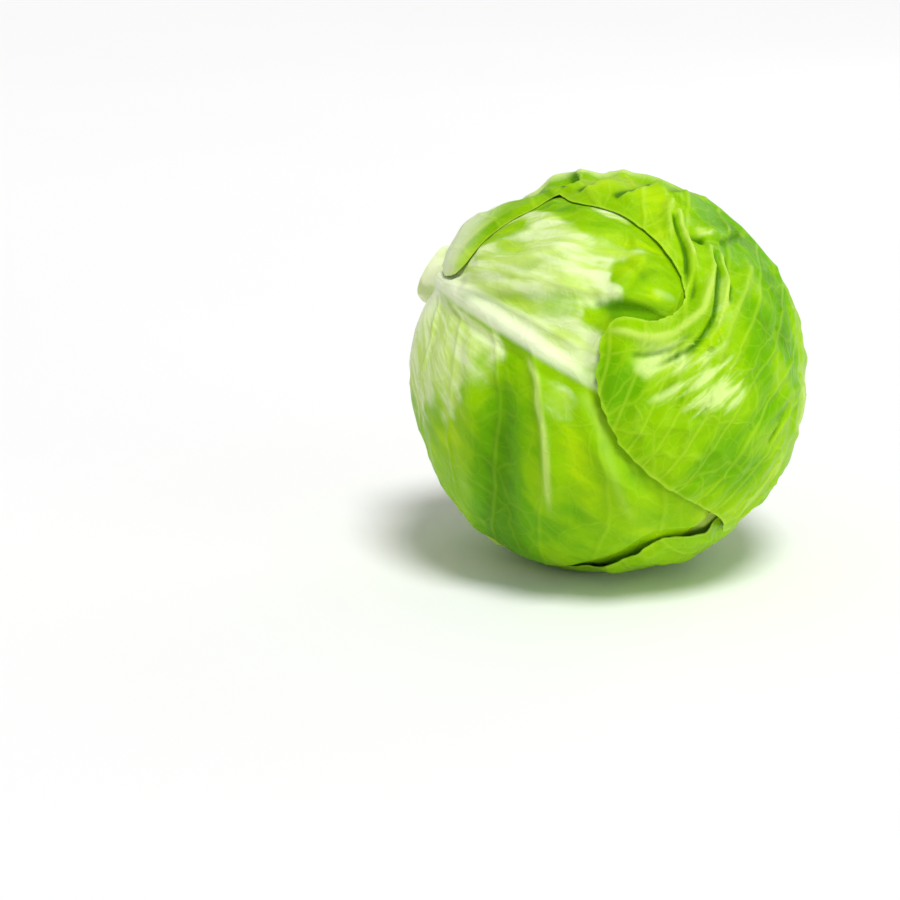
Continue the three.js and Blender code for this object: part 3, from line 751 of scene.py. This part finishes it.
def leafMasks(leaf, places, directions, at, paintedLight):  # what the material reads
    x, y, across = at["x"], at["y"], at["across"]
    tone = paleness(leaf, at) + patchSum(places, leaf["patches"], 5)
    linePlace, lineWidth, lineGreen = leaf["ribEdge"]
    tone = tone - lineGreen * np.exp(-((across - linePlace) / lineWidth) ** 2)
    panel, panelSize = surface["panel"]
    flowX, flowY, flowRadius = leaf["flow"]
    ribEnd = np.where(across < 0, *leaf["ribSoft"])
    return {
        "tone": np.clip(tone, 0, 1),
        "glossy": patchSum(places, leaf["glossy"], 5),
        "flowTurn": flowRadius / uvSize * np.arctan2(x - flowX, y - flowY),
        "flowReach": np.hypot(x - flowX, y - flowY) / uvSize,
        "rib": (1 - smooth(at["inRibs"], 0.5, ribEnd)) * (1 - smooth(at["ribPart"], *leaf["ribFade"])),
        "rim": 1 - smooth(at["inset"], *surface["rim"]),
        "base": 1 - smooth(angleTo(directions, stemDirection), *surface["base"]),
        # painted shade at the folds' feet above 0, painted highlight on their crests below 0
        "paintedFoldLight": np.clip(paintedLight, -1, 1),
        "panel": panel * softNoise(x, y, panelSize, leaf["seed"] + 9) + patchSum(places, leaf["patches"], 6),
        "phase": at["phase"],
        "pitch": at["pitch"],
    }


def shapeLeaf(order, leaf, spots):
    places = spreadOut(leaf, spots)
    directions = wrap(leaf, places)
    at = measure(leaf, places)
    depth, free = stackAbove(order, directions)
    folds, paintedLight = foldsOn(leaf, places)
    pressed = patchSum(places, leaf["pressed"], 5)
    relief = leafRelief(leaf, at, folds, pressed)

    atRim = 1 - smooth(at["inset"], 0, blade["pressReach"])
    rimThickness = blade["rimThickness"] * (1 - blade["rimThinning"] * pressed)
    thickness = blade["thickness"] - (blade["thickness"] - rimThickness) * atRim
    ownDepth = blade["thickness"] + blade["gap"] + ribProfile(leaf, places, blade["ribReach"])
    ribRise = ribProfile(leaf, places * (0, 1), 1) * at["rib"]
    press = blade["press"] + (blade["gap"] - blade["press"] - blade["pressLeft"]) * pressed
    inner = outerRadius(directions) + blade["gap"] - depth - ownDepth - press * atRim
    radius = inner + thickness + ribRise + relief * free
    points = headCentre + directions * radius[:, None]
    points[:, 2] = np.maximum(points[:, 2], 0)
    return points, places, thickness + ribRise, leafMasks(leaf, places, directions, at, paintedLight)


def setAttribute(mesh, name, values):
    layer = mesh.attributes.new(name, "FLOAT", "POINT")
    layer.data.foreach_set("value", values.astype(np.float32))


def meshSpots(mesh):  # the points of a fresh primitive
    spots = np.empty(len(mesh.vertices) * 3)
    mesh.vertices.foreach_get("co", spots)
    return spots.reshape(-1, 3)


def makeLeaf(order, leaf):
    bpy.ops.object.select_all(action="DESELECT")
    columns, rows = [count for count in leaf["grid"]]
    bpy.ops.mesh.primitive_grid_add(x_subdivisions=columns, y_subdivisions=rows, size=2)
    piece = bpy.context.object
    piece.name = leaf["name"]
    mesh = piece.data
    points, places, thicknesses, masks = shapeLeaf(order, leaf, meshSpots(mesh))
    mesh.vertices.foreach_set("co", (points * mm).ravel())
    for name, values in masks.items():
        setAttribute(mesh, name, values)
    corners = np.empty(len(mesh.loops), dtype=np.int32)
    mesh.loops.foreach_get("vertex_index", corners)
    mesh.uv_layers[0].data.foreach_set("uv", (places[corners] / uvSize).ravel())

    thickest = blade["thickness"] + blade["ribHeight"]
    group = piece.vertex_groups.new(name="thickness")
    for i, thickness in enumerate(thicknesses):
        group.add([i], float(blade["wallPart"] * thickness / thickest), "REPLACE")
    wall = piece.modifiers.new("wall", "SOLIDIFY")
    wall.thickness = thickest * mm
    wall.offset = -1
    wall.vertex_group = group.name
    bpy.ops.object.modifier_apply(modifier=wall.name)
    bpy.ops.object.shade_smooth_by_angle(angle=math.radians(blade["smoothAngle"]))
    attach(piece, "root")
    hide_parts(leaf["node"])
    return piece


leaves = [layOut(leaf) for leaf in (topLeaf, backLeaf, frontLeaf, *innerLeaves())]
leafPieces = []
for order, leaf in enumerate(leaves):
    leafPieces.append(makeLeaf(order, leaf))
    print(leaf["name"], "made")


# The stem, a stub with leaf scars and a pale cut face

stem = {
    "angle": 8.5,
    "coreDistance": 34.0,
    "cutDistance": 89.0,
    "edgeRound": 2.2,
    "sides": 72,
    "cuts": 30,
    "cutRings": 5,
    "cutInset": 0.9,  # all the rings together, in parts of the radius
    "rounding": 0.6,
    "hollow": 1.0,  # how far the pith has sunk
    "hollowEdge": (0.2, 0.9),
    "outside": (78, 84),  # where the head ends
    "grooves": [(0.35, 14, 3.1, 5), (0.3, 9, 6, 6)],  # depth, how many round, length, seed
    "scarDepth": 0.5,
    "scarTurns": 2,
    "scarPitch": 0.42,
    "scarSharpness": 8,
    "smoothAngle": 40.0,
}


def makeStem():
    bpy.ops.object.select_all(action="DESELECT")
    bpy.ops.mesh.primitive_cylinder_add(vertices=stem["sides"], radius=1, depth=1)
    piece = bpy.context.object
    piece.name = "stemStub"
    mesh = piece.data
    bpy.context.tool_settings.mesh_select_mode = (False, True, False)
    bpy.ops.object.mode_set(mode="EDIT")
    bpy.ops.mesh.select_all(action="DESELECT")
    bpy.ops.object.mode_set(mode="OBJECT")
    for edge in mesh.edges:
        low, high = [mesh.vertices[i].co.z for i in edge.vertices]
        edge.select = abs(high - low) > 0.5
    bpy.ops.object.mode_set(mode="EDIT")
    bpy.ops.mesh.subdivide(number_cuts=stem["cuts"])
    bpy.ops.mesh.select_mode(type="FACE")
    bpy.ops.mesh.select_all(action="DESELECT")
    bpy.ops.object.mode_set(mode="OBJECT")
    for face in mesh.polygons:
        face.select = face.normal.z > 0.9
    bpy.ops.object.mode_set(mode="EDIT")
    for ring in range(stem["cutRings"]):
        bpy.ops.mesh.inset(thickness=stem["cutInset"] / stem["cutRings"])
    bpy.ops.object.mode_set(mode="OBJECT")

    spots = meshSpots(mesh)
    part = np.hypot(spots[:, 0], spots[:, 1])
    turn = np.arctan2(spots[:, 1], spots[:, 0])
    distance = stem["coreDistance"] + (stem["cutDistance"] - stem["coreDistance"]) * (spots[:, 2] + 0.5)
    radius = distance * math.tan(math.radians(stem["angle"]))
    toCut = stem["cutDistance"] - distance
    rounding = np.clip(1 - toCut / stem["edgeRound"], 0, 1) ** 2 * stem["rounding"]
    grooves = 0
    for depth, around, size, seed in stem["grooves"]:
        grooves = grooves + depth * softNoise(turn * around, distance, size, seed)
    scars = np.cos(turn * stem["scarTurns"] + distance * stem["scarPitch"]) ** stem["scarSharpness"]
    outside = smooth(distance, *stem["outside"])
    radius = (radius - rounding + (grooves - stem["scarDepth"] * scars) * outside) * part
    onCut = spots[:, 2] > 0.499
    distance = distance - np.where(onCut, stem["hollow"] * (1 - smooth(part, *stem["hollowEdge"])), 0)
    points = headCentre + np.outer(distance, stemDirection)
    points += np.outer(radius * np.cos(turn), frontDirection)
    points += np.outer(radius * np.sin(turn), upperDirection)
    mesh.vertices.foreach_set("co", (points * mm).ravel())
    setAttribute(mesh, "cut", np.where(onCut, 1 - part, -0.2))
    bpy.ops.object.shade_smooth_by_angle(angle=math.radians(stem["smoothAngle"]))
    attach(piece, "root")
    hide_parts("stem")
    return piece


stemPiece = makeStem()
print("stem made")


# The heart, the closed ball of small leaves

heart = {
    "segments": 120,
    "rings": 90,
    "pocketAngle": 9.5,
    "pocketRings": 5,
    "pocketGap": 0.4,
    "stepHeight": 0.9,
    "stepAngle": 22.0,
    "stepTurns": 2.1,
    "stepWander": 0.04,
    "stepsFrom": (14, 24),
    "smoothAngle": 50.0,
}


def makeHeart():
    bpy.ops.object.select_all(action="DESELECT")
    bpy.ops.mesh.primitive_uv_sphere_add(segments=heart["segments"], ring_count=heart["rings"], radius=1)
    piece = bpy.context.object
    piece.name = "heartBall"
    mesh = piece.data
    spots = meshSpots(mesh)
    rings, pocketRings, wall = heart["rings"], heart["pocketRings"], heart["pocketAngle"]
    ring = np.degrees(np.arccos(np.clip(spots[:, 2], -1, 1))) / 180 * rings
    outer = wall + (180 - wall) * (ring - pocketRings - 1) / (rings - pocketRings - 1)
    angle = np.where(ring <= pocketRings, wall * ring / pocketRings, outer)
    turn = np.arctan2(spots[:, 1], spots[:, 0])
    directions = np.outer(np.cos(np.radians(angle)), stemDirection)
    directions += np.outer(np.sin(np.radians(angle)) * np.cos(turn), frontDirection)
    directions += np.outer(np.sin(np.radians(angle)) * np.sin(turn), upperDirection)
    depth, _ = stackAbove(len(leaves), directions)
    wander = heart["stepWander"] * softNoise(turn * 20, angle * 1.1, 9, 3)
    steps = (angle / heart["stepAngle"] + turn / (2 * math.pi) * heart["stepTurns"] + wander) % 1
    steps *= heart["stepHeight"] * smooth(angle, *heart["stepsFrom"])
    radius = outerRadius(directions) - depth - steps
    radius = np.where(ring <= pocketRings + 0.5, stem["coreDistance"] - heart["pocketGap"], radius)
    points = headCentre + directions * radius[:, None]
    mesh.vertices.foreach_set("co", (points * mm).ravel())
    bpy.ops.object.shade_smooth_by_angle(angle=math.radians(heart["smoothAngle"]))
    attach(piece, "root")
    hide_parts("heart")
    return piece


heartPiece = makeHeart()
print("heart made")


# Materials

def colour(red, green, blue):  # from the 0 to 255 values of a screen
    linear = [value / 3294.6 if value <= 10 else ((value / 255 + 0.055) / 1.055) ** 2.4
              for value in (red, green, blue)]
    return (*linear, 1)


def addNode(tree, kind, sockets, **settings):
    made = tree.nodes.new(kind)
    for name, value in settings.items():
        setattr(made, name, value)
    for socket, value in sockets.items():
        if isinstance(value, bpy.types.NodeSocket):
            tree.links.new(value, made.inputs[socket])
        else:
            made.inputs[socket].default_value = value
    return made


def newMaterial(name):
    material = bpy.data.materials.new(name)
    material.use_nodes = True
    tree = material.node_tree
    return material, tree, tree.nodes["Principled BSDF"]


def mixColours(tree, part, first, second):
    sockets = {0: part, 6: first, 7: second}
    return addNode(tree, "ShaderNodeMix", sockets, data_type="RGBA").outputs[2]


def remap(tree, value, low, high, toLow=0.0, toHigh=1.0):
    sockets = {"Value": value, "From Min": low, "From Max": high, "To Min": toLow, "To Max": toHigh}
    made = addNode(tree, "ShaderNodeMapRange", sockets, interpolation_type="SMOOTHSTEP")
    return made.outputs["Result"]


def calculate(tree, operation, *values):
    made = addNode(tree, "ShaderNodeMath", dict(enumerate(values)), operation=operation)
    return made.outputs[0]


def add(tree, first, second):
    return calculate(tree, "ADD", first, second)


def times(tree, first, second):
    return calculate(tree, "MULTIPLY", first, second)


def bumpInto(tree, shader, height, strength, distance):
    bump = addNode(tree, "ShaderNodeBump", {"Strength": strength, "Distance": distance, "Height": height})
    tree.links.new(bump.outputs["Normal"], shader.inputs["Normal"])


def cellEdges(tree, coordinates, scale, width, strength):  # a net of lines between cells
    cells = addNode(
        tree, "ShaderNodeTexVoronoi", {"Vector": coordinates, "Scale": scale}, feature="DISTANCE_TO_EDGE")
    return remap(tree, cells.outputs["Distance"], width, 0.0, 0.0, strength)


def attribute(tree, name):
    return addNode(tree, "ShaderNodeAttribute", {}, attribute_name=name).outputs["Fac"]


def noise(tree, coordinates, scale, detail=2.0):
    sockets = {"Vector": coordinates, "Scale": scale, "Detail": detail}
    return addNode(tree, "ShaderNodeTexNoise", sockets).outputs["Fac"]


greenLeaf = {
    "deep": (104, 170, 0),
    "mid": (142, 196, 0),
    "light": (178, 220, 0),
    # shade: the colour of the painted shade at fold feet, and the darkest green that deep patches run into
    "shade": (70, 126, 0),
    "vein": (196, 230, 60),
    "pale": (188, 220, 88),
    "paleLight": (206, 235, 136),
    "ribColour": (206, 232, 140),
    "baseColour": (236, 248, 206),
    "rimColour": (190, 228, 70),
    "network": 0.25,
    "streakDepth": 0.12,
    "roughness": (0.3, 0.42),
    "shine": (0.9, 1.0, 0.6),
    "shineLevel": 0.08,
}
paleLeaf = dict(
    greenLeaf, pale=(196, 226, 112), paleLight=(224, 244, 176), ribColour=(236, 248, 204),
    network=0.13, roughness=(0.34, 0.46), shade=(84, 144, 0), shine=(0.92, 1.0, 0.65), streakDepth=0.3)
wrapperLeaf = dict(
    greenLeaf, deep=(160, 200, 60), mid=(190, 220, 96), light=(208, 232, 120),
    pale=(228, 240, 172), network=0.3, roughness=(0.36, 0.5))

leafPattern = {  # a scale counts the spots on one unit of the UV map
    "wanderScale": 9.0,
    "wander": 0.07,
    "streakScale": 24.0,
    "streakStretch": 0.18,  # lengthwise, so that streaks are long
    # painted highlight: pale streaks in the glossy patches
    "streakOnGloss": 0.4,
    "blotchScale": 16.0,
    "spotScale": 4.5,
    "vein": (1.5, 0.25),  # mm from its middle where a vein begins and is whole
    "fork": (0.8, 0.15),
    "forkStrength": 0.3,
    "net": (4.6, 0.05, 0.75),  # scale, width, strength
    "fineNet": (13.0, 0.07, 0.4),
    "baseTint": 0.75,
    "rimTint": 0.35,
    # a painted highlight on the fold crests
    "crestHighlight": 0.9,
    "grainScale": 90.0,
    "grainHeight": 0.25,
    "veinHeight": 0.6,
    "roughScale": 12.0,
    "glossyPolish": 0.2,  # how much smoother a glossy patch is
    "bumpStrength": 0.45,
    "bumpDistance": 0.0006,
    "translucence": 0.12,
    "translucentReach": 0.003,
    "translucentColours": (0.6, 1.0, 0.2),
}


def veinLine(tree, phase, pitch, begins, whole):  # 1 on the lines where the phase is a whole number
    fromMiddle = calculate(tree, "SUBTRACT", calculate(tree, "FRACT", phase), 0.5)
    fromMiddle = calculate(tree, "ABSOLUTE", fromMiddle)
    distance = times(tree, calculate(tree, "SUBTRACT", 0.5, fromMiddle), pitch)
    return remap(tree, distance, begins, whole)


def leafMaterial(name, look):
    material, tree, shader = newMaterial(name)
    flat = addNode(tree, "ShaderNodeUVMap", {}).outputs["UV"]
    wander = {"Vector": flat, "Scale": leafPattern["wanderScale"], "Detail": 1.0}
    wander = addNode(tree, "ShaderNodeTexNoise", wander).outputs["Color"]
    nudge = {0: wander, 1: (0.5, 0.5, 0.5)}
    nudge = addNode(tree, "ShaderNodeVectorMath", nudge, operation="SUBTRACT").outputs[0]
    nudge = {0: nudge, "Scale": leafPattern["wander"]}
    nudge = addNode(tree, "ShaderNodeVectorMath", nudge, operation="SCALE").outputs[0]
    warped = addNode(tree, "ShaderNodeVectorMath", {0: flat, 1: nudge}, operation="ADD").outputs[0]

    reach = times(tree, attribute(tree, "flowReach"), leafPattern["streakStretch"])
    flow = addNode(tree, "ShaderNodeCombineXYZ", {"X": attribute(tree, "flowTurn"), "Y": reach}).outputs[0]
    streak = remap(tree, noise(tree, flow, leafPattern["streakScale"], 3.0), 0.3, 0.7, -1.0, 1.0)

    tone = attribute(tree, "tone")
    glossy = attribute(tree, "glossy")
    blotches = remap(tree, noise(tree, warped, leafPattern["blotchScale"], 3.0), 0.35, 0.65, -0.06, 0.06)
    # painted highlight: pale streaks over the glossy patches
    onGloss = times(tree, glossy, leafPattern["streakOnGloss"])
    streakReach = add(tree, remap(tree, tone, 0.0, 0.3, 0.0, 0.1), onGloss)
    toneMix = add(tree, add(tree, tone, blotches), times(tree, streak, streakReach))
    toneMix = remap(tree, toneMix, 0.12, 0.9)

    spots = remap(tree, noise(tree, warped, leafPattern["spotScale"]), 0.3, 0.7, -0.2, 0.2)
    spots = add(tree, spots, times(tree, streak, look["streakDepth"]))
    patches = add(tree, attribute(tree, "panel"), spots)
    green = mixColours(tree, remap(tree, patches, 0.0, 1.0), colour(*look["mid"]), colour(*look["deep"]))
    # above 1 the patches run into the shade colour: the deepest leaf green, and in places a painted shadow
    green = mixColours(tree, remap(tree, patches, 1.0, 2.2), green, colour(*look["shade"]))
    green = mixColours(tree, remap(tree, patches, 0.0, -0.8), green, colour(*look["light"]))
    pale = mixColours(tree, remap(tree, streak, -0.9, 1.0), colour(*look["pale"]), colour(*look["paleLight"]))

    phase = attribute(tree, "phase")
    pitch = attribute(tree, "pitch")
    mainVein = veinLine(tree, phase, pitch, *leafPattern["vein"])
    forkVein = veinLine(tree, add(tree, phase, 0.5), pitch, *leafPattern["fork"])
    veins = calculate(tree, "MAXIMUM", mainVein, times(tree, forkVein, leafPattern["forkStrength"]))
    for net in ("net", "fineNet"):
        veins = calculate(tree, "MAXIMUM", veins, cellEdges(tree, warped, *leafPattern[net]))

    body = mixColours(tree, times(tree, veins, look["network"]), green, colour(*look["vein"]))
    body = mixColours(tree, toneMix, body, pale)
    body = mixColours(tree, attribute(tree, "rib"), body, colour(*look["ribColour"]))
    baseTint = times(tree, attribute(tree, "base"), leafPattern["baseTint"])
    body = mixColours(tree, baseTint, body, colour(*look["baseColour"]))
    rimTint = times(tree, attribute(tree, "rim"), leafPattern["rimTint"])
    body = mixColours(tree, rimTint, body, colour(*look["rimColour"]))
    # painted light of the folds: a painted highlight on their crests, a painted shade at their feet
    paintedFoldLight = attribute(tree, "paintedFoldLight")
    crest = remap(tree, paintedFoldLight, 0.0, -1.0, 0.0, leafPattern["crestHighlight"])
    body = mixColours(tree, crest, body, colour(*look["pale"]))
    body = mixColours(tree, remap(tree, paintedFoldLight, 0.0, 1.0), body, colour(*look["shade"]))
    tree.links.new(body, shader.inputs["Base Color"])

    grain = times(tree, noise(tree, flat, leafPattern["grainScale"], 3.0), leafPattern["grainHeight"])
    height = add(tree, times(tree, veins, leafPattern["veinHeight"]), grain)
    bumpInto(tree, shader, height, leafPattern["bumpStrength"], leafPattern["bumpDistance"])
    rough = remap(tree, noise(tree, flat, leafPattern["roughScale"], 4.0), 0.3, 0.7, *look["roughness"])
    rough = calculate(tree, "SUBTRACT", rough, times(tree, glossy, leafPattern["glossyPolish"]))
    tree.links.new(rough, shader.inputs["Roughness"])
    shader.inputs["Specular IOR Level"].default_value = look["shineLevel"]
    shader.inputs["Specular Tint"].default_value = (*look["shine"], 1)
    shader.inputs["Subsurface Weight"].default_value = leafPattern["translucence"]
    shader.inputs["Subsurface Radius"].default_value = leafPattern["translucentColours"]
    shader.inputs["Subsurface Scale"].default_value = leafPattern["translucentReach"]
    return material


def plainLeafMaterial():  # the heart has no flat layout, so its pattern lies in space
    material, tree, shader = newMaterial("heartLeaf")
    spot = addNode(tree, "ShaderNodeTexCoord", {}).outputs["Object"]
    mottle = noise(tree, spot, 45.0, 4.0)
    tint = mixColours(tree, remap(tree, mottle, 0.35, 0.65), colour(214, 232, 140), colour(236, 242, 184))
    veins = cellEdges(tree, spot, 60.0, 0.08, 0.5)
    tree.links.new(mixColours(tree, veins, tint, colour(242, 248, 210)), shader.inputs["Base Color"])
    bumpInto(tree, shader, veins, 0.4, 0.0005)
    tree.links.new(remap(tree, mottle, 0.3, 0.7, 0.35, 0.5), shader.inputs["Roughness"])
    return material


def stemMaterial():
    material, tree, shader = newMaterial("stem")
    spot = addNode(tree, "ShaderNodeTexCoord", {}).outputs["Object"]
    mottle = noise(tree, spot, 120.0, 4.0)
    bark = mixColours(tree, remap(tree, mottle, 0.35, 0.65), colour(206, 224, 150), colour(232, 240, 196))
    cut = attribute(tree, "cut")
    flesh = mixColours(tree, remap(tree, mottle, 0.3, 0.7), colour(236, 240, 206), colour(246, 246, 224))
    skin = mixColours(tree, remap(tree, cut, -0.02, 0.0), bark, flesh)
    ring = times(tree, remap(tree, cut, 0.18, 0.24), remap(tree, cut, 0.34, 0.28))
    skin = mixColours(tree, times(tree, ring, 0.5), skin, colour(206, 206, 146))
    tree.links.new(skin, shader.inputs["Base Color"])
    bumpInto(tree, shader, noise(tree, spot, 400.0, 4.0), 0.4, 0.0006)
    tree.links.new(remap(tree, mottle, 0.3, 0.7, 0.5, 0.7), shader.inputs["Roughness"])
    return material


def floorMaterial():
    material, tree, shader = newMaterial("floor")
    spot = addNode(tree, "ShaderNodeTexCoord", {}).outputs["Object"]
    tint = mixColours(tree, noise(tree, spot, 3.0), colour(244, 244, 244), colour(247, 247, 247))
    tree.links.new(tint, shader.inputs["Base Color"])
    shader.inputs["Roughness"].default_value = 0.8
    shader.inputs["Specular IOR Level"].default_value = 0.2
    return material


leafMaterials = {
    "green_leaf": leafMaterial("greenLeaf", greenLeaf),
    "pale_leaf": leafMaterial("paleLeaf", paleLeaf),
    "inner_leaf": leafMaterial("innerLeaf", wrapperLeaf),
}
for leaf, piece in zip(leaves, leafPieces):
    piece.data.materials.append(leafMaterials[leaf["slot"]])
heartPiece.data.materials.append(plainLeafMaterial())
stemPiece.data.materials.append(stemMaterial())
print("materials made")


# Floor and light

studio = {
    "floorSize": 40.0,
    "worldStrength": 0.36,
    "sun": {"strength": 2.4, "softness": 20.0, "from": (0.15, -0.4, 1.0)},
    "panels": [  # place in metres, size, watts
        ((1.15, -0.85, 0.12), 0.6, 7.0),
        ((0.9, 1.1, 0.7), 0.6, 1.5),
    ],
}


def aimFrom(place, target):
    away = unit(np.array(place) - np.array(target))
    return (math.acos(away[2]), 0, math.atan2(away[1], away[0]) + math.pi / 2)


def lightStudio():
    bpy.ops.mesh.primitive_plane_add(size=studio["floorSize"])
    floor = bpy.context.object
    floor.name = "floor"
    floor.data.materials.append(floorMaterial())
    sun = studio["sun"]
    bpy.ops.object.light_add(type="SUN", rotation=aimFrom(sun["from"], (0, 0, 0)))
    bpy.context.object.data.energy = sun["strength"]
    bpy.context.object.data.angle = math.radians(sun["softness"])
    target = headCentre * mm
    for place, size, watts in studio["panels"]:
        bpy.ops.object.light_add(type="AREA", location=place, rotation=aimFrom(place, target))
        panel = bpy.context.object.data
        panel.shape = "SQUARE"
        panel.size = size
        panel.energy = watts
    world = bpy.data.worlds.new("studio")
    world.use_nodes = True
    backdrop = world.node_tree.nodes["Background"]
    backdrop.inputs["Color"].default_value = (1, 1, 1, 1)
    backdrop.inputs["Strength"].default_value = studio["worldStrength"]
    bpy.context.scene.world = world
    bpy.context.scene.view_settings.view_transform = "Standard"


bpy.ops.object.select_all(action="DESELECT")
lightStudio()
print("floor and light placed")
